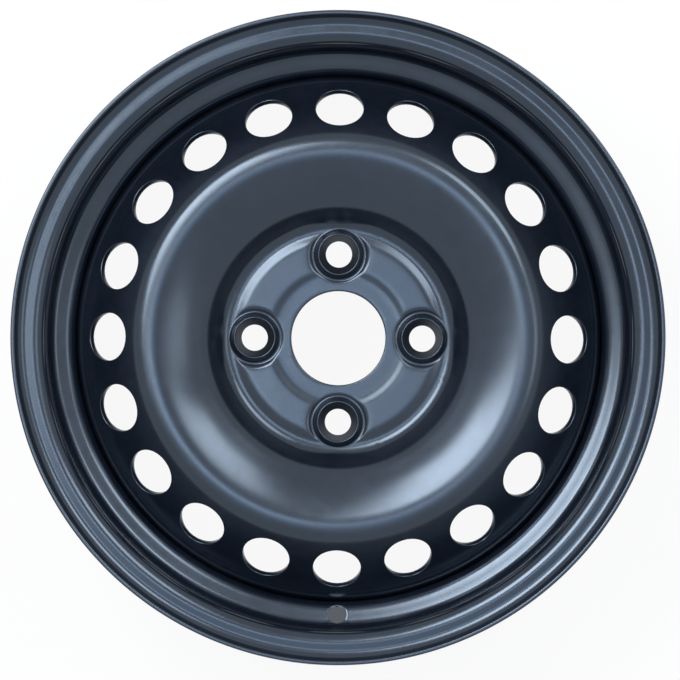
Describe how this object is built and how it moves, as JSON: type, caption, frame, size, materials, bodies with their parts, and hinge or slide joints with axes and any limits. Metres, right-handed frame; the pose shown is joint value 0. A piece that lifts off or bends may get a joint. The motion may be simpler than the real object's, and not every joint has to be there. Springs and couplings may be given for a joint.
{
  "type": "steel wheel",
  "caption": "Pressed-steel car road wheel: a rolled drop-centre rim with a welded disc that has a ring of round vents, raised nut seats, a centre bore and a valve hole, painted black.",
  "frame": {"origin": "centre of the bolt circle, on the face of the disc that meets the hub", "axes": "+Z along the axle, out of the wheel's outer side; -Y towards the valve hole"},
  "size_m": [0.3894, 0.3892, 0.1606],
  "materials": {
    "black_paint_rim": "semi-gloss black paint",
    "black_paint_disc": "semi-gloss black paint",
    "painted_weld": "black paint over a rough weld"
  },
  "bodies": {
    "root": {"rim": "black_paint_rim", "disc": "black_paint_disc", "weld_beads": "painted_weld"}
  },
  "joints": []
}
